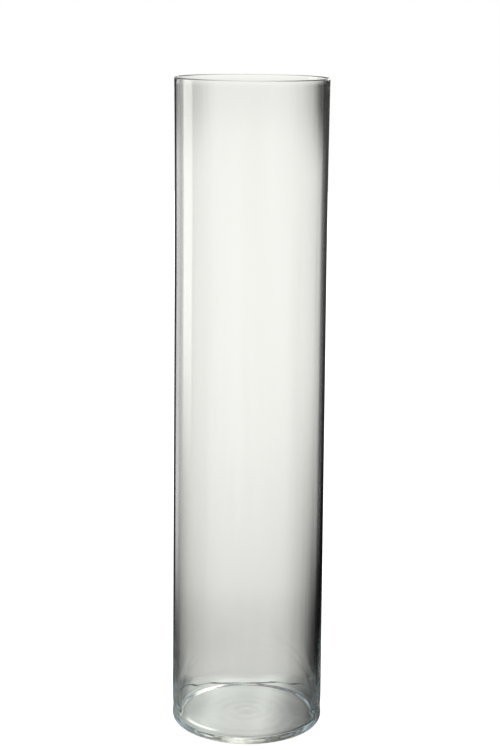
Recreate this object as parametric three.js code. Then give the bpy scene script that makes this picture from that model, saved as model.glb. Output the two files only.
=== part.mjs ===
// A tall cylinder vase of clear soda-lime glass, in millimetres, +Z up, standing on z = 0 with its axis on Z.
// It is made of two glass bodies that meet in one flat annular seam just above the foot: the thick, rounded
// base, which is a shallow cup, and the cylinder wall, which is an open tube with a fire-polished rim.
import * as THREE from "three";

// Driving dimensions
const HEIGHT = 800;
const BODY_RADIUS = 93; // outer radius just above the foot, before the waist, taper and flare
const TAPER = 1.4; // how much the outer radius has drawn in, per full height, away from the flare
const FLARE = 1.56; // how much the mouth opens out again at the rim
const FLARE_START = 0.7; // share of the height where the flare begins

const SEAM_HEIGHT = 17; // plane where the wall is fused to the base
const WAIST_DEPTH = 0.7; // slight groove left all round by the fused seam
const WAIST_HEIGHT = 16.5;
const WAIST_SPREAD = 7;

const WALL_LOW = 6; // wall thickness at the seam, at mid height and under the rim
const WALL_MID = 2.8;
const WALL_RIM = 3.6;
const LOW_FADE = 60; // height over which the thick lower wall thins out
const RIM_FADE = 60; // the same below the rim

const HEEL_RADIUS = 5.5; // rounding between the foot and the outer wall
const FOOT_WIDTH = 9; // flat ring that the vase stands on
const PUSH_UP = 1.6; // how far the underside is domed up inside the foot ring
const FLOOR_HEIGHT = 4.5; // inner floor beside its fillet
const FLOOR_CROWN = 1.2; // how much higher the floor is on the axis
const FILLET_REACH = 12; // how far the rounding between wall and floor comes in over the floor
const FILLET_RISE = 7; // how far the same rounding climbs up the wall

const SIDES = 72; // facets round the vase
const WAIST_EDGE = 11; // heights of the rings that shape the waist, below and above the seam
const WALL_RINGS = [24, 36, 60, 100, 160, 260, 400, 560, 640, 720, 765]; // rings between seam and rim
const ARC_STEPS = 6; // steps along each rounding
const DOME_STEPS = 3; // steps across the floor and across the domed underside

// Outer radius of the vase at height z.
function outerRadius(z) {
  const share = z / HEIGHT;
  const flare = Math.max(0, (share - FLARE_START) / (1 - FLARE_START)) ** 2;
  const waist = Math.exp(-(((z - WAIST_HEIGHT) / WAIST_SPREAD) ** 2));
  return BODY_RADIUS - TAPER * share + FLARE * flare - WAIST_DEPTH * waist;
}

// Inner radius of the vase at height z, which is the outer radius less the wall.
function innerRadius(z) {
  const low = (WALL_LOW - WALL_MID) * Math.exp(-(z - SEAM_HEIGHT) / LOW_FADE);
  const rim = (WALL_RIM - WALL_MID) * Math.exp(-(HEIGHT - z) / RIM_FADE);
  return outerRadius(z) - (WALL_MID + low + rim);
}

// Points of an elliptical arc in the (radius, height) half-plane, from one angle to another, both ends
// included. Reach is its half-width along the radius, and rise is its half-height.
function arc(centreRadius, centreHeight, reach, rise, fromAngle, toAngle) {
  return Array.from({ length: ARC_STEPS + 1 }, (_, i) => {
    const angle = fromAngle + ((toAngle - fromAngle) * i) / ARC_STEPS;
    return new THREE.Vector2(
      centreRadius + reach * Math.cos(angle),
      centreHeight + rise * Math.sin(angle),
    );
  });
}

// Points of a shallow dome centred on the axis: height at its edge, plus the crown in the middle.
// They run outwards from the axis and leave out the edge itself.
function dome(edgeRadius, edgeHeight, crown) {
  return Array.from({ length: DOME_STEPS }, (_, i) => {
    const share = i / DOME_STEPS;
    const rise = (crown * (1 + Math.cos(Math.PI * share))) / 2;
    return new THREE.Vector2(edgeRadius * share, edgeHeight + rise);
  });
}

// The base: a shallow cup with a domed underside, a flat foot ring, a rounded heel and a filleted floor.
function baseProfile() {
  const heelCentre = outerRadius(HEEL_RADIUS) - HEEL_RADIUS;
  const footInner = heelCentre - FOOT_WIDTH;
  const filletTop = FLOOR_HEIGHT + FILLET_RISE;
  const filletCentre = innerRadius(filletTop) - FILLET_REACH;
  const underside = dome(footInner, 0, PUSH_UP);
  const heel = arc(heelCentre, HEEL_RADIUS, HEEL_RADIUS, HEEL_RADIUS, -Math.PI / 2, 0);
  const fillet = arc(filletCentre, filletTop, FILLET_REACH, FILLET_RISE, 0, -Math.PI / 2);
  const floor = dome(filletCentre, FLOOR_HEIGHT, FLOOR_CROWN).reverse();
  return [
    ...underside,
    new THREE.Vector2(footInner, 0),
    ...heel,
    new THREE.Vector2(outerRadius(WAIST_EDGE), WAIST_EDGE),
    new THREE.Vector2(outerRadius(SEAM_HEIGHT), SEAM_HEIGHT),
    new THREE.Vector2(innerRadius(SEAM_HEIGHT), SEAM_HEIGHT),
    ...fillet,
    ...floor,
  ];
}

// The cylinder wall: up the outside from the seam, over the round rim and down the inside.
function wallProfile() {
  const rimRadius = WALL_RIM / 2;
  const rimHeight = HEIGHT - rimRadius;
  const rimCentre = outerRadius(rimHeight) - rimRadius;
  const heights = [SEAM_HEIGHT, ...WALL_RINGS];
  const outside = heights.map((z) => new THREE.Vector2(outerRadius(z), z));
  const inside = heights.map((z) => new THREE.Vector2(innerRadius(z), z)).reverse();
  const rim = arc(rimCentre, rimHeight, rimRadius, rimRadius, 0, Math.PI);
  const profile = [...outside, ...rim, ...inside];
  return [...profile, profile[0].clone()];
}

// Clear glass with the faint grey-green cast of soda lime.
function clearGlass() {
  return new THREE.MeshStandardMaterial({
    color: 0xe9eee9,
    roughness: 0.03,
    metalness: 0,
    transparent: true,
    opacity: 0.35,
  });
}

// A named solid of revolution: the profile is turned about Z instead of three.js's own Y.
function turned(name, profile) {
  const geometry = new THREE.LatheGeometry(profile, SIDES);
  geometry.rotateX(Math.PI / 2);
  const mesh = new THREE.Mesh(geometry, clearGlass());
  mesh.name = name;
  return mesh;
}

const vase = new THREE.Group();
vase.name = "glass_cylinder_vase";
vase.add(turned("base", baseProfile()));
vase.add(turned("cylinder_wall", wallProfile()));

export default vase;
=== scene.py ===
"""A tall cylinder vase of clear glass, standing on a plain pale floor in soft studio light.

The glass is one fused body, so it is one closed mesh: it stands for both CAD nodes, the thick base and
the cylinder wall, and follows their sizes. Everything is in metres, with +Z up and the vase's axis on Z.
"""

import math

import bpy
from mathutils import Matrix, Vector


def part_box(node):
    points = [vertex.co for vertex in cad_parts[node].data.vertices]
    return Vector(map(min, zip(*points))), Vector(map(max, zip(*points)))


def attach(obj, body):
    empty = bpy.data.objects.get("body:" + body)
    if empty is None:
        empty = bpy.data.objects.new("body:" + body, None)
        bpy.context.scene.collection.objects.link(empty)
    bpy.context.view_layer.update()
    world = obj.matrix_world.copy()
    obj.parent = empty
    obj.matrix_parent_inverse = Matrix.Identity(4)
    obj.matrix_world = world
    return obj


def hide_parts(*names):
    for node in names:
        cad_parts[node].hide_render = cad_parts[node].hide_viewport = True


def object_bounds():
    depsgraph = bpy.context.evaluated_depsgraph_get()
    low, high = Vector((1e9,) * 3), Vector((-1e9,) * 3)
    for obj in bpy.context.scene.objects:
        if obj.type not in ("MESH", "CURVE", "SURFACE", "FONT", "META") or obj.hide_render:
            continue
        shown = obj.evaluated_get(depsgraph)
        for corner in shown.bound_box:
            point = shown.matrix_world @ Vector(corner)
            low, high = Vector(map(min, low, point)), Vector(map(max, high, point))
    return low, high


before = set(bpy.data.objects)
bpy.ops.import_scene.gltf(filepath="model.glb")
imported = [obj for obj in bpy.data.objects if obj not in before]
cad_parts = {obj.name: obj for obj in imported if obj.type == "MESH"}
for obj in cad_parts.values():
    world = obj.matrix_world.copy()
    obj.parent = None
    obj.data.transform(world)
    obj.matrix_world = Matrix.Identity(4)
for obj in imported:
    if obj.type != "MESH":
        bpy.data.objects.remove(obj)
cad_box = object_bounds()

MM = 0.001

# Sizes that the frame gives
HEIGHT = cad_box[1].z
RIM_RADIUS = cad_box[1].x
SEAM_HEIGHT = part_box("base")[1].z

# Outside of the vase
TAPER = 1.4 * MM
FLARE = 1.56 * MM
FLARE_START = 0.7
WAIST_DEPTH = 0.7 * MM
WAIST_HEIGHT = SEAM_HEIGHT - 0.5 * MM
WAIST_SPREAD = 7 * MM
BODY_RADIUS = RIM_RADIUS + TAPER - FLARE
HEEL_RADIUS = 5.5 * MM
FOOT_WIDTH = 9 * MM
PUSH_UP = 1.6 * MM

# Inside of the vase
WALL_LOW = 6 * MM
WALL_MID = 2.8 * MM
WALL_RIM = 3.6 * MM
LOW_FADE = 60 * MM
RIM_FADE = 60 * MM
FLOOR_HEIGHT = 4.5 * MM
FLOOR_CROWN = 1.2 * MM
FILLET_REACH = 12 * MM
FILLET_RISE = 7 * MM
RIPPLE_DEPTH = 0.18 * MM
RIPPLE_SPACING = 15 * MM

# Mesh resolution
SIDES = 240
LOW_RINGS = 14  # rings close together above the heel, where the waist is
LOW_RING_STEP = 1.5 * MM
RING_STEP = 8 * MM  # rings on the rest of the wall
ARC_STEPS = 20
FLOOR_RINGS = 60


# ---------------------------------------------------------------- glass shape

def outer_radius(z):
    """Radius of the outer wall at height z."""
    share = z / HEIGHT
    flare = max(0.0, (share - FLARE_START) / (1 - FLARE_START)) ** 2
    waist = math.exp(-(((z - WAIST_HEIGHT) / WAIST_SPREAD) ** 2))
    return BODY_RADIUS - TAPER * share + FLARE * flare - WAIST_DEPTH * waist


def wall_thickness(z):
    """The wall is thick above the base, thins out upwards, and thickens again under the rim."""
    low = (WALL_LOW - WALL_MID) * math.exp(-(z - SEAM_HEIGHT) / LOW_FADE)
    rim = (WALL_RIM - WALL_MID) * math.exp(-(HEIGHT - z) / RIM_FADE)
    return WALL_MID + low + rim


def inner_radius(z):
    """Radius of the inner wall at height z."""
    return outer_radius(z) - wall_thickness(z)


def arc(radius_at, height_at, reach, rise, start, end):
    """Points (radius, height) along an arc of an ellipse, both ends included."""
    angles = [start + (end - start) * i / ARC_STEPS for i in range(ARC_STEPS + 1)]
    return [(radius_at + reach * math.cos(a), height_at + rise * math.sin(a)) for a in angles]


def dome(edge_radius, edge_height, crown, ripple=0.0):
    """Points from near the axis out to just before the edge of a shallow dome.

    Turned ripples may run round it, and they die away towards the edge.
    """
    points = []
    for i in range(1, FLOOR_RINGS):
        share = i / FLOOR_RINGS
        rise = crown * (1 + math.cos(math.pi * share)) / 2
        wave = ripple * math.sin(2 * math.pi * edge_radius * share / RIPPLE_SPACING)
        wave *= math.sqrt(1 - share)
        points.append((edge_radius * share, edge_height + rise + wave))
    return points


def heights(low, high):
    """Evenly spaced heights from low to high, both ends included."""
    count = round((high - low) / RING_STEP)
    return [low + (high - low) * i / count for i in range(count + 1)]


def glass_profile():
    """The outline of the glass: underside, heel, outside, rim, inside, fillet, floor."""
    heel_centre = outer_radius(HEEL_RADIUS) - HEEL_RADIUS
    foot_inner = heel_centre - FOOT_WIDTH
    foot = [(foot_inner, 0), (heel_centre - FOOT_WIDTH / 2, 0)]
    underside = dome(foot_inner, 0, PUSH_UP) + foot
    heel = arc(heel_centre, HEEL_RADIUS, HEEL_RADIUS, HEEL_RADIUS, -math.pi / 2, 0)

    rim_radius = WALL_RIM / 2
    rim_height = HEIGHT - rim_radius
    rim = arc(outer_radius(rim_height) - rim_radius, rim_height, rim_radius, rim_radius, 0, math.pi)

    fillet_top = FLOOR_HEIGHT + FILLET_RISE
    fillet_centre = inner_radius(fillet_top) - FILLET_REACH
    fillet = arc(fillet_centre, fillet_top, FILLET_REACH, FILLET_RISE, 0, -math.pi / 2)
    floor = dome(fillet_centre, FLOOR_HEIGHT, FLOOR_CROWN, RIPPLE_DEPTH)[::-1]

    low_rings = [HEEL_RADIUS + i * LOW_RING_STEP for i in range(1, LOW_RINGS + 1)]
    wall = low_rings + heights(low_rings[-1] + RING_STEP, rim_height - RING_STEP)
    outside = [(outer_radius(z), z) for z in wall]
    inside = [(inner_radius(z), z) for z in wall[::-1] if z > fillet_top + MM]
    return underside + heel + outside + rim + inside + fillet + floor


def turned_mesh(name, profile, bottom, top):
    """A closed mesh: rings from the profile, closed by a fan at the bottom and at the top of the axis."""
    vertices = [(0, 0, bottom)]
    for radius, height in profile:
        for i in range(SIDES):
            angle = 2 * math.pi * i / SIDES
            vertices.append((radius * math.cos(angle), radius * math.sin(angle), height))
    vertices.append((0, 0, top))
    last = len(vertices) - 1
    faces = [(0, 1 + (i + 1) % SIDES, 1 + i) for i in range(SIDES)]
    for ring in range(len(profile) - 1):
        low = 1 + ring * SIDES
        high = low + SIDES
        for i in range(SIDES):
            j = (i + 1) % SIDES
            faces.append((low + i, low + j, high + j, high + i))
    start = last - SIDES
    faces += [(last, start + i, start + (i + 1) % SIDES) for i in range(SIDES)]
    mesh = bpy.data.meshes.new(name)
    mesh.from_pydata(vertices, [], faces)
    mesh.validate()
    mesh.shade_smooth()
    return mesh


def make_vase():
    """The vase as one object, with its glass."""
    profile = glass_profile()
    mesh = turned_mesh("vase_glass", profile, PUSH_UP, FLOOR_HEIGHT + FLOOR_CROWN)
    vase = bpy.data.objects.new("vase_glass", mesh)
    bpy.context.scene.collection.objects.link(vase)
    vase.data.materials.append(clear_glass())
    return vase


# ---------------------------------------------------------------- node graphs

class Graph:
    """Short names for the maths nodes of one node tree.

    A value may be a plain number or another node's socket.
    """

    def __init__(self, tree):
        self.nodes = tree.nodes
        self.links = tree.links

    def plug(self, socket, value):
        """Sets a socket to a plain value, or links it to another node's socket."""
        if isinstance(value, (int, float, tuple)):
            socket.default_value = value
        else:
            self.links.new(value, socket)

    def maths(self, operation, *values):
        """The result of one of Blender's Math operations."""
        node = self.nodes.new("ShaderNodeMath")
        node.operation = operation
        for socket, value in zip(node.inputs, values):
            self.plug(socket, value)
        return node.outputs[0]

    def times(self, first, *others):
        """The product of two or more values."""
        for other in others:
            first = self.maths("MULTIPLY", first, other)
        return first

    def dim(self, value, where, share):
        """The value, less the given share of it where the mask is 1."""
        return self.times(value, self.maths("MULTIPLY_ADD", where, -share, 1.0))

    def step(self, value, low, high, at_low=0.0, at_high=1.0):
        """Smooth step from at_low at low to at_high at high, where high may be the smaller number."""
        node = self.nodes.new("ShaderNodeMapRange")
        node.interpolation_type = "SMOOTHSTEP"
        for name, given in zip(("Value", "From Min", "From Max", "To Min", "To Max"),
                               (value, low, high, at_low, at_high)):
            self.plug(node.inputs[name], given)
        return node.outputs["Result"]

    def blend(self, factor, first, second):
        """The first value where factor is 0, the second where it is 1."""
        node = self.nodes.new("ShaderNodeMix")
        number_sockets = (node.inputs[0], node.inputs[2], node.inputs[3])
        for socket, value in zip(number_sockets, (factor, first, second)):
            self.plug(socket, value)
        return node.outputs[0]

    def blend_colour(self, factor, first, second):
        """The first colour where factor is 0, the second where it is 1."""
        node = self.nodes.new("ShaderNodeMix")
        node.data_type = "RGBA"
        colour_sockets = (node.inputs[0], node.inputs[6], node.inputs[7])
        for socket, value in zip(colour_sockets, (factor, first, second)):
            self.plug(socket, value)
        return node.outputs[2]

    def tint(self, brightness, cast):
        """A brightness turned into a colour with the given cast."""
        node = self.nodes.new("ShaderNodeVectorMath")
        node.operation = "SCALE"
        self.plug(node.inputs[0], cast)
        self.plug(node.inputs["Scale"], brightness)
        return node.outputs[0]

    def noise(self, place, scale, detail):
        """Smooth noise from 0 to 1."""
        node = self.nodes.new("ShaderNodeTexNoise")
        node.inputs["Scale"].default_value = scale
        node.inputs["Detail"].default_value = detail
        self.links.new(place, node.inputs["Vector"])
        return node.outputs["Fac"]

    def bump(self, height, distance, normal=None):
        """A normal tilted by a height pattern, on top of another bump's normal if one is given."""
        node = self.nodes.new("ShaderNodeBump")
        node.inputs["Distance"].default_value = distance
        self.links.new(height, node.inputs["Height"])
        if normal:
            self.links.new(normal, node.inputs["Normal"])
        return node.outputs["Normal"]

    def window(self, value, low, high, edge=1.0):
        """1 between low and high, 0 outside them, with soft edges."""
        return self.times(self.step(value, low - edge, low + edge),
                          self.step(value, high - edge, high + edge, 1.0, 0.0))

    def curve(self, value, points):
        """A smooth curve through points (x, y)."""
        low, high = points[0][0], points[-1][0]
        scaled = self.nodes.new("ShaderNodeMapRange")
        for name, given in zip(("Value", "From Min", "From Max"), (value, low, high)):
            self.plug(scaled.inputs[name], given)
        node = self.nodes.new("ShaderNodeFloatCurve")
        node.mapping.extend = "EXTRAPOLATED"
        node.mapping.use_clip = False
        line = node.mapping.curves[0]
        while len(line.points) < len(points):
            line.points.new(0.5, 0.5)
        for point, (x, y) in zip(line.points, points):
            point.location = ((x - low) / (high - low), y)
        node.mapping.update()
        self.links.new(scaled.outputs["Result"], node.inputs["Value"])
        return node.outputs["Value"]


# ---------------------------------------------------------------- materials

GLASS_IOR = 1.51
GLASS_CAST = (0.93, 0.95, 0.90, 1)
GLASS_DENSITY = 7
CORD_SCALE = (38, 38, 2.2)  # the cords are long upright streaks
CORD_DETAIL = 3
CORD_BUMP = 0.06 * MM
SEED_SCALE = 420
SEED_DETAIL = 2
SEED_BUMP = 0.004 * MM
SMOKE_RANGE = (0.35, 0.7)
CLEAREST = (1.0, 1.0, 1.0, 1)
SMOKIEST = (0.978, 0.982, 0.976, 1)


def clear_glass():
    """Soda-lime glass: a faint olive cast where it is thick, and the soft upright cords of drawn glass."""
    material = bpy.data.materials.new("clear_glass")
    material.use_nodes = True
    graph = Graph(material.node_tree)
    nodes, links = graph.nodes, graph.links
    shader = nodes["Principled BSDF"]
    shader.inputs["Transmission Weight"].default_value = 1
    shader.inputs["Roughness"].default_value = 0
    shader.inputs["IOR"].default_value = GLASS_IOR

    place = nodes.new("ShaderNodeTexCoord").outputs["Object"]
    stretched = nodes.new("ShaderNodeMapping")
    stretched.inputs["Scale"].default_value = CORD_SCALE
    links.new(place, stretched.inputs["Vector"])
    cords = graph.noise(stretched.outputs["Vector"], 1.0, CORD_DETAIL)
    seeds = graph.noise(place, SEED_SCALE, SEED_DETAIL)
    smoke = graph.step(cords, *SMOKE_RANGE)
    links.new(graph.blend_colour(smoke, CLEAREST, SMOKIEST), shader.inputs["Base Color"])
    cord_bump = graph.bump(cords, CORD_BUMP)
    links.new(graph.bump(seeds, SEED_BUMP, cord_bump), shader.inputs["Normal"])

    cast = nodes.new("ShaderNodeVolumeAbsorption")
    cast.inputs["Color"].default_value = GLASS_CAST
    cast.inputs["Density"].default_value = GLASS_DENSITY
    links.new(cast.outputs["Volume"], nodes["Material Output"].inputs["Volume"])
    return material


# ---------------------------------------------------------------- studio

# Angles are in degrees: elevation from level, and azimuth from straight behind the vase, with the right
# of the view positive. Two numbers give a smooth step, from the first to the second, or the range that a
# light fills. In a constant with four, the last two are the values before and after the step.
DEGREES = 180 / math.pi
WHITE = (1, 1, 1, 1)

# Brightness of the backdrop, by elevation
BACKDROP = [(-60, 1.0), (-42, 0.97), (-33, 0.80), (-28, 0.62), (-22, 0.655), (-19.4, 0.81),
            (-16.3, 0.91), (-13, 0.98), (-9, 1.0), (-5, 0.99), (-2.7, 0.91), (0, 0.88), (10, 0.90),
            (30, 1.0)]

# How the backdrop falls off to the left (-) and right (+) of a line of sight. It repeats every quarter
# turn, so that the vase has dark edges and a light middle from every side. There is a curve for lines of
# sight through the lower wall, one for the upper wall and one for the part just under the rim. Above
# level and steeply below it there is no fall-off.
SECTOR = 45  # half of a quarter turn
FALL_OFF_LOW = [(-45, 1.0), (-39, 0.80), (-34, 0.05), (-22, 0.03), (-18, 0.20), (-15, 0.33),
                (-10.5, 0.53), (-7, 0.72), (-4.6, 0.88), (-3, 0.97), (-1, 1.0), (1, 0.99), (3.2, 0.76),
                (4.6, 0.52), (6.8, 0.20), (9, 0.06), (15, 0.01), (30, 0.01), (37, 0.60), (45, 1.0)]
FALL_OFF_HIGH = [(-45, 1.0), (-17, 0.90), (-14, 0.60), (-11, 0.75), (-8, 0.90), (-5, 0.97), (-2, 1.0),
                 (2, 1.0), (5, 0.97), (6.5, 0.87), (8, 0.68), (10, 0.38), (15, 0.12), (24, 0.04),
                 (32, 0.20), (38, 0.90), (45, 1.0)]
FALL_OFF_TOP = [(-45, 1.0), (-30, 0.50), (-12, 0.72), (-6, 0.76), (-4.5, 0.78), (-3.1, 0.87),
                (-1.5, 1.0), (1.5, 1.0), (2.8, 0.92), (3.9, 0.78), (5, 0.62), (5.9, 0.42), (7.2, 0.18),
                (8.6, 0.07), (16, 0.02), (30, 0.02), (37, 0.60), (45, 1.0)]
LOW_TO_HIGH = (-22, -11)
HIGH_TO_TOP = (-6, -2.5)
NO_FALL_OFF_ABOVE = (0, 6)
NO_FALL_OFF_BELOW = (-27, -50)
THROUGH_CAST = (1.0, 1.0, 0.955)

# Brightness of what the glass mirrors, by azimuth. Behind the vase it dims with elevation, in one way
# on the left and in another on the right.
MIRRORED = [(-180, 0.55), (-125, 0.50), (-105, 0.25), (-79, 0.15), (-55, 0.20), (-46, 0.25),
            (-41, 0.85), (-31, 0.90), (-26, 0.12), (-22, 0.04), (8, 0.05), (60, 0.08), (110, 0.30),
            (150, 0.50), (180, 0.55)]
LEFT_TO_RIGHT = (-16, -8)
BACK_TO_FRONT = (100, 130)
LEFT_DIM_BELOW = (-22, -16, 0.12, 1.0)
LEFT_DIM_ABOVE = (-5.5, -3, 1.0, 0.4)
RIGHT_DIM_BELOW = (-19, -6, 0.1, 1.0)
MIRROR_CAST = (1.0, 1.0, 0.99)

# Brightness of the studio overhead in the glass's reflections, by elevation
OVERHEAD = [(0, 0.6), (8, 0.5), (14, 0.45), (20, 0.60), (24, 0.85), (29, 1.15), (45, 1.0), (90, 0.9)]
WALL_TO_OVERHEAD = (-1.5, 4)

# A tall light strip at the left, mirrored by the two faces of the near wall only
STRIP_AZIMUTH = (-80, -57)
STRIP_RISE = (-17, -9)
STRIP_BRIGHTNESS = 1.7
STRIP_GAIN = (-5, -2.7, 1.0, 1.15)
NEAR_WALL = 2.5  # faces crossed, which are whole numbers

# A low light behind the vase, to the right, that glints in the rounding round the floor
GLINT_AZIMUTH = (5, 40)
GLINT_AZIMUTH_EDGE = 4
GLINT_ELEVATION = (0, 13)
GLINT_ELEVATION_EDGE = 2
GLINT_BRIGHTNESS = 1.5

# Brightness seen along paths that bounce about inside the thick base, by azimuth: first near level,
# where it comes in streaks, and then higher up, where it comes in bands
INSIDE_GLOW = [(-180, 0.5), (-120, 0.4), (-80, 0.08), (-63, 0.1), (-56, 0.7), (-45, 0.5), (-32, 0.3),
               (-20, 0.12), (-9, 0.3), (0, 1.2), (9, 0.8), (17, 0.15), (30, 0.2), (45, 0.5), (70, 0.45),
               (100, 0.25), (180, 0.5)]
INSIDE_RISE = (-4, 14, 0.03, 1.2)
STREAK_STEP = 24
STREAK_DEPTH = 0.35
STREAK_LEVEL = 0.85
INSIDE_HIGH_GLOW = [(-180, 0.4), (-95, 0.05), (-80, 0.1), (-66, 0.6), (-55, 0.4), (-43, 0.65),
                    (-36, 0.4), (-28, 0.28), (-18, 0.5), (-10, 0.85), (5, 0.9), (20, 0.9), (33, 0.6),
                    (40, 0.42), (57, 0.5), (65, 0.25), (90, 0.2), (180, 0.4)]
BAND_STEP = 9
BAND_DEPTH = 0.45
LEVEL_TO_HIGH = (22, 32)
INSIDE_CAST_MIDDLE = (1.0, 1.0, 0.97, 1)
INSIDE_CAST_SIDES = (0.72, 0.91, 1.06, 1)
MIDDLE_TO_SIDES = (15, 50)

# The bright arc at the far left of the floor, the weaker one at the far right, and the dark right edge
# of the base. The thick base turns light round, so its right side looks to the left, and the reverse.
ARC_ELEVATION = (45, 49)
ARC_AZIMUTH = (12, 90)
ARC_AZIMUTH_EDGE = 5
ARC_BRIGHTNESS = (40, 62, 0.85, 1.7)
RIGHT_ARC_AZIMUTH = (-20, -10, 1.0, 0.0)
RIGHT_ARC_LOSS = 0.25
RIGHT_EDGE_AZIMUTH = (-52, -46, 1.0, 0.0)
RIGHT_EDGE_ELEVATION = (37, 42)
RIGHT_EDGE_LOSS = 0.9

# Elevations that only paths through the wall reach, and not those through the base
WALL_FROM = (-21, -17)
WALL_TO = (-3, -1, 1.0, 0.0)

# Counts of bounces are whole numbers, so these limits lie halfway between them
AT_LEAST_ONE = 0.5
AT_LEAST_TWO = 1.5


def sky_angles(graph):
    """Azimuth and elevation of the direction looked in."""
    direction = graph.nodes.new("ShaderNodeSeparateXYZ")
    coordinates = graph.nodes.new("ShaderNodeTexCoord")
    graph.links.new(coordinates.outputs["Generated"], direction.inputs[0])
    x, y, z = direction.outputs
    azimuth = graph.times(graph.maths("ARCTAN2", x, y), DEGREES)
    elevation = graph.times(graph.maths("ARCSINE", z), DEGREES)
    return azimuth, elevation


def seen_through(graph, azimuth, elevation):
    """Brightness of the backdrop where it is seen through the glass."""
    sight = graph.maths("WRAP", azimuth, SECTOR, -SECTOR)
    low = graph.curve(sight, FALL_OFF_LOW)
    high = graph.curve(sight, FALL_OFF_HIGH)
    top = graph.curve(sight, FALL_OFF_TOP)
    fall_off = graph.blend(graph.step(elevation, *LOW_TO_HIGH), low, high)
    fall_off = graph.blend(graph.step(elevation, *HIGH_TO_TOP), fall_off, top)
    fall_off = graph.blend(graph.step(elevation, *NO_FALL_OFF_ABOVE), fall_off, 1.0)
    fall_off = graph.blend(graph.step(elevation, *NO_FALL_OFF_BELOW), fall_off, 1.0)
    return graph.times(graph.curve(elevation, BACKDROP), fall_off)


def seen_mirrored(graph, azimuth, elevation, faces_crossed):
    """Brightness of what the faces of the wall mirror."""
    left = graph.times(graph.step(elevation, *LEFT_DIM_BELOW), graph.step(elevation, *LEFT_DIM_ABOVE))
    right = graph.step(elevation, *RIGHT_DIM_BELOW)
    dimmed = graph.blend(graph.step(azimuth, *LEFT_TO_RIGHT), left, right)
    in_front = graph.step(graph.maths("ABSOLUTE", azimuth), *BACK_TO_FRONT)
    dimmed = graph.blend(in_front, dimmed, 1.0)
    mirrored = graph.times(graph.curve(azimuth, MIRRORED), dimmed)
    overhead = graph.curve(elevation, OVERHEAD)
    mirrored = graph.blend(graph.step(elevation, *WALL_TO_OVERHEAD), mirrored, overhead)
    strip = graph.times(graph.window(azimuth, *STRIP_AZIMUTH),
                        graph.step(elevation, *STRIP_RISE, 0, STRIP_BRIGHTNESS),
                        graph.step(elevation, *STRIP_GAIN),
                        graph.maths("LESS_THAN", faces_crossed, NEAR_WALL))
    mirrored = graph.maths("ADD", mirrored, strip)
    glint = graph.times(graph.window(azimuth, *GLINT_AZIMUTH, GLINT_AZIMUTH_EDGE),
                        graph.window(elevation, *GLINT_ELEVATION, GLINT_ELEVATION_EDGE))
    return graph.maths("MULTIPLY_ADD", glint, GLINT_BRIGHTNESS, mirrored)


def seen_inside(graph, azimuth, elevation):
    """Colour at the end of paths that bounce about inside the thick base."""
    streaks = graph.maths("SINE", graph.times(azimuth, 2 * math.pi / STREAK_STEP))
    streaks = graph.maths("MULTIPLY_ADD", streaks, STREAK_DEPTH, STREAK_LEVEL)
    rise = graph.step(elevation, *INSIDE_RISE)
    near_level = graph.times(graph.curve(azimuth, INSIDE_GLOW), rise, streaks)

    bands = graph.maths("SINE", graph.times(elevation, 2 * math.pi / BAND_STEP))
    bands = graph.maths("MULTIPLY_ADD", bands, BAND_DEPTH, 1.0)
    high_up = graph.times(graph.curve(azimuth, INSIDE_HIGH_GLOW), bands)
    steep = graph.step(elevation, *ARC_ELEVATION)
    right_arc = graph.times(graph.step(azimuth, *RIGHT_ARC_AZIMUTH), steep)
    high_up = graph.dim(high_up, right_arc, RIGHT_ARC_LOSS)
    right_edge = graph.times(graph.step(azimuth, *RIGHT_EDGE_AZIMUTH),
                             graph.step(elevation, *RIGHT_EDGE_ELEVATION))
    high_up = graph.dim(high_up, right_edge, RIGHT_EDGE_LOSS)
    left_arc = graph.times(graph.window(azimuth, *ARC_AZIMUTH, ARC_AZIMUTH_EDGE), steep)
    high_up = graph.maths("MULTIPLY_ADD", left_arc, graph.step(azimuth, *ARC_BRIGHTNESS), high_up)

    brightness = graph.blend(graph.step(elevation, *LEVEL_TO_HIGH), near_level, high_up)
    to_side = graph.step(graph.maths("ABSOLUTE", azimuth), *MIDDLE_TO_SIDES)
    to_side = graph.times(to_side, graph.maths("SUBTRACT", 1.0, left_arc))
    return graph.tint(brightness, graph.blend_colour(to_side, INSIDE_CAST_MIDDLE, INSIDE_CAST_SIDES))


def make_world():
    """Soft studio surroundings. The camera and the floor see plain white, and the glass sees the rest."""
    world = bpy.data.worlds.new("studio")
    bpy.context.scene.world = world
    world.use_nodes = True
    graph = Graph(world.node_tree)
    azimuth, elevation = sky_angles(graph)
    light_path = graph.nodes.new("ShaderNodeLightPath").outputs

    on_wall = graph.times(graph.step(elevation, *WALL_FROM), graph.step(elevation, *WALL_TO))
    is_mirrored = graph.maths("GREATER_THAN", light_path["Glossy Depth"], AT_LEAST_ONE)
    is_inside = graph.maths("GREATER_THAN", light_path["Glossy Depth"], AT_LEAST_TWO)
    is_inside = graph.times(is_inside, graph.maths("SUBTRACT", 1.0, on_wall))
    is_diffuse = graph.maths("GREATER_THAN", light_path["Diffuse Depth"], AT_LEAST_ONE)
    is_plain = graph.maths("MAXIMUM", light_path["Is Camera Ray"], is_diffuse)

    mirrored = seen_mirrored(graph, azimuth, elevation, light_path["Transmission Depth"])
    seen = graph.tint(seen_through(graph, azimuth, elevation), THROUGH_CAST)
    seen = graph.blend_colour(is_mirrored, seen, graph.tint(mirrored, MIRROR_CAST))
    seen = graph.blend_colour(is_inside, seen, seen_inside(graph, azimuth, elevation))
    seen = graph.blend_colour(is_plain, seen, WHITE)
    graph.links.new(seen, graph.nodes["Background"].inputs["Color"])


# ---------------------------------------------------------------- floor

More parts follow.
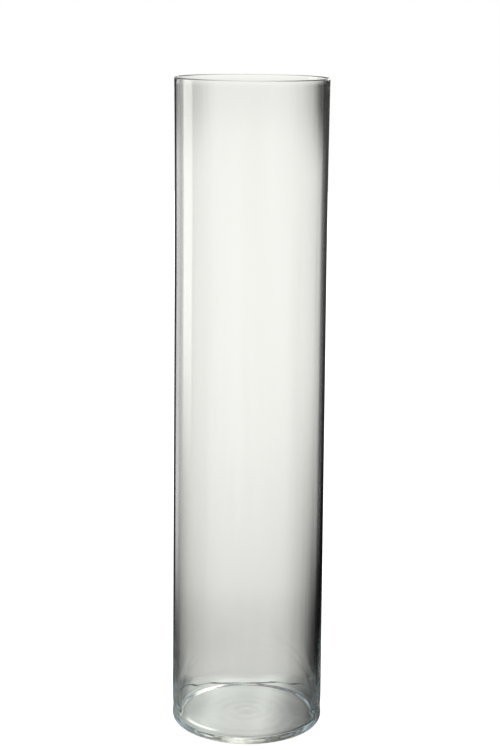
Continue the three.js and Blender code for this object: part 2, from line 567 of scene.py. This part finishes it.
FLOOR_HALF = 6
FLOOR_DROP = 0.2 * MM
FLOOR_ALBEDO = (0.1, 0.85)  # to the glass and to the camera
FLOOR_GLOW = (0.6, 0.6, 0.6, 1)  # to the camera
FLOOR_ROUGHNESS = 0.9

# Painted light and shade on the plinth's top, which glows with it to the glass: its brightness by distance
# to the right of the vase's axis, in metres, and its gain towards the back and the front, by distance
# behind the axis
PLINTH_PAINTED_LIGHT = [(-0.105, 0.10), (-0.095, 0.20), (-0.088, 0.42), (-0.08, 0.48), (-0.071, 0.48),
                (-0.055, 0.60), (-0.045, 0.66), (-0.03, 0.62), (0, 0.57), (0.018, 0.62), (0.028, 0.54),
                (0.036, 0.45), (0.048, 0.27), (0.060, 0.16), (0.072, 0.07), (0.083, 0.02), (0.105, 0.01)]
PLINTH_BACK = (-0.02, 0.08, 0.97, 1.2)
PLINTH_FRONT = (-0.07, -0.035, 0.86, 1.0)
PLINTH_CAST = (0.955, 1.0, 0.935)
# The skew moves the painted fall-off further to the right towards the back
PLINTH_SKEW = 0.12

# Outline of the plinth, a square with well rounded corners, widened sideways and slightly turned. The
# glass sees a dark line of painted shade round it, and beyond that an apron that fades out into the
# backdrop.
PLINTH_TURN = 0.06
PLINTH_SQUARENESS = 4
PLINTH_WIDENING = 1.25
PLINTH_HALF = 0.102
PLINTH_FADE = 0.022
LINE_FROM = 0.0880
LINE_WIDTH = 0.0036
LINE_EDGE = 0.7 * MM
LINE_WAVER = 0.002
LINE_WAVER_SCALE = 18
LINE_WAVER_DETAIL = 2
LINE_DARKNESS = 0.08

# A painted caustic: a bright patch painted on the plinth at its front left, part of a thin ring, where the
# glass would focus light
CAUSTIC_CENTRE = (0.005, 0.028)
CAUSTIC_RADII = (0.0900, 0.0945)
CAUSTIC_RADII_EDGE = 2 * MM
CAUSTIC_ANGLES = (-148, -118)
CAUSTIC_ANGLES_EDGE = 6
CAUSTIC_BRIGHTNESS = 0.85


def painted_caustic(graph, x, y):
    """1 in the part of a thin ring where the caustic is painted, 0 elsewhere."""
    across = graph.maths("SUBTRACT", x, CAUSTIC_CENTRE[0])
    back = graph.maths("SUBTRACT", y, CAUSTIC_CENTRE[1])
    squares = graph.maths("ADD", graph.times(across, across), graph.times(back, back))
    radius = graph.maths("SQRT", squares)
    angle = graph.times(graph.maths("ARCTAN2", back, across), DEGREES)
    return graph.times(graph.window(radius, *CAUSTIC_RADII, CAUSTIC_RADII_EDGE),
                       graph.window(angle, *CAUSTIC_ANGLES, CAUSTIC_ANGLES_EDGE))


def plinth_reach(graph, x, y):
    """How far out a point lies on the plinth, measured so that the plinth's outline is one value."""
    along = graph.maths("ADD", x, graph.times(y, PLINTH_TURN))
    along = graph.maths("DIVIDE", along, PLINTH_WIDENING)
    back = graph.maths("SUBTRACT", y, graph.times(x, PLINTH_TURN))
    powers = [graph.maths("POWER", graph.maths("ABSOLUTE", side), PLINTH_SQUARENESS)
              for side in (along, back)]
    return graph.maths("POWER", graph.maths("ADD", *powers), 1 / PLINTH_SQUARENESS)


def painted_plinth_light(graph, position, x, y, reach):
    """Painted brightness of the plinth's top, with the painted caustic on it and the painted shade line
    round it.
    """
    across = graph.maths("SUBTRACT", x, graph.times(y, PLINTH_SKEW))
    # Painted light: brightest left of the middle, falling off to both sides and most to the right,
    # brighter towards the back and dimmer towards the front
    light = graph.times(graph.curve(across, PLINTH_PAINTED_LIGHT), graph.step(y, *PLINTH_BACK),
                        graph.step(y, *PLINTH_FRONT))
    # Painted highlight: the caustic is added on top of the painted light
    light = graph.maths("MULTIPLY_ADD", painted_caustic(graph, x, y), CAUSTIC_BRIGHTNESS, light)
    noise = graph.noise(position, LINE_WAVER_SCALE, LINE_WAVER_DETAIL)
    waver = graph.times(graph.maths("SUBTRACT", noise, 0.5), 2 * LINE_WAVER)
    # Painted shade: a dark, wavering line round the plinth's edge
    line = graph.window(graph.maths("ADD", reach, waver), LINE_FROM, LINE_FROM + LINE_WIDTH, LINE_EDGE)
    return graph.blend(line, light, graph.times(light, LINE_DARKNESS))


def floor_material():
    """Plain and pale to the camera, and to the glass a plinth's top that glows with painted light and
    shade.
    """
    material = bpy.data.materials.new("pale_floor")
    material.use_nodes = True
    graph = Graph(material.node_tree)
    nodes, links = graph.nodes, graph.links
    camera = nodes.new("ShaderNodeLightPath").outputs["Is Camera Ray"]
    position = nodes.new("ShaderNodeNewGeometry").outputs["Position"]
    place = nodes.new("ShaderNodeSeparateXYZ")
    links.new(position, place.inputs[0])
    x, y = place.outputs["X"], place.outputs["Y"]
    reach = plinth_reach(graph, x, y)

    shader = nodes["Principled BSDF"]
    albedo = nodes.new("ShaderNodeCombineColor")
    for socket in albedo.inputs:
        graph.plug(socket, graph.blend(camera, *FLOOR_ALBEDO))
    links.new(albedo.outputs[0], shader.inputs["Base Color"])
    shader.inputs["Roughness"].default_value = FLOOR_ROUGHNESS
    shader.inputs["Specular IOR Level"].default_value = 0.0
    shader.inputs["Emission Strength"].default_value = 1.0
    # The plinth's top glows to the glass with the painted light and shade
    painted_glow = graph.tint(painted_plinth_light(graph, position, x, y, reach), PLINTH_CAST)
    links.new(graph.blend_colour(camera, painted_glow, FLOOR_GLOW), shader.inputs["Emission Color"])

    beyond = graph.step(reach, PLINTH_HALF, PLINTH_HALF + PLINTH_FADE)
    open_to_glass = graph.times(beyond, graph.maths("SUBTRACT", 1.0, camera))
    clear = nodes.new("ShaderNodeBsdfTransparent")
    mix = nodes.new("ShaderNodeMixShader")
    links.new(open_to_glass, mix.inputs["Fac"])
    links.new(shader.outputs[0], mix.inputs[1])
    links.new(clear.outputs[0], mix.inputs[2])
    links.new(mix.outputs[0], nodes["Material Output"].inputs["Surface"])
    return material


def make_floor():
    """A plain pale floor that runs on without an edge, just under the foot."""
    half = FLOOR_HALF
    corners = [(-half, -half, 0), (half, -half, 0), (half, half, 0), (-half, half, 0)]
    mesh = bpy.data.meshes.new("floor")
    mesh.from_pydata(corners, [], [(0, 1, 2, 3)])
    floor = bpy.data.objects.new("floor", mesh)
    floor.location.z = -FLOOR_DROP
    bpy.context.scene.collection.objects.link(floor)
    mesh.materials.append(floor_material())


# ---------------------------------------------------------------- camera

CAMERA_DISTANCE = 2.0567
CAMERA_HEIGHT = 0.8904
CAMERA_PITCH = 8.678  # degrees that it looks down
CAMERA_ROLL = 0.532
LENS = 82.44
SENSOR = 36
SHIFT = (-0.0009, -0.15)


def make_camera():
    """The camera in front of the vase, looking slightly down on it."""
    camera = bpy.data.cameras.new("camera")
    camera.lens = LENS
    camera.sensor_width = SENSOR
    camera.shift_x, camera.shift_y = SHIFT
    seen_from = bpy.data.objects.new("camera", camera)
    bpy.context.scene.collection.objects.link(seen_from)
    seen_from.location = (0, -CAMERA_DISTANCE, CAMERA_HEIGHT)
    tilt = Matrix.Rotation(math.radians(90 - CAMERA_PITCH), 3, "X")
    roll = Matrix.Rotation(math.radians(CAMERA_ROLL), 3, "Z")
    seen_from.rotation_euler = (tilt @ roll).to_euler()
    bpy.context.scene.camera = seen_from


# ---------------------------------------------------------------- scene

# Light crosses the thick base by many reflections, so it is followed for as many
BOUNCES = 96

scene = bpy.context.scene
scene.view_settings.view_transform = "Standard"
scene.cycles.max_bounces = BOUNCES
scene.cycles.transmission_bounces = BOUNCES
scene.cycles.glossy_bounces = BOUNCES

make_camera()
make_world()
make_floor()
vase = make_vase()
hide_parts("base", "cylinder_wall")
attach(vase, "root")
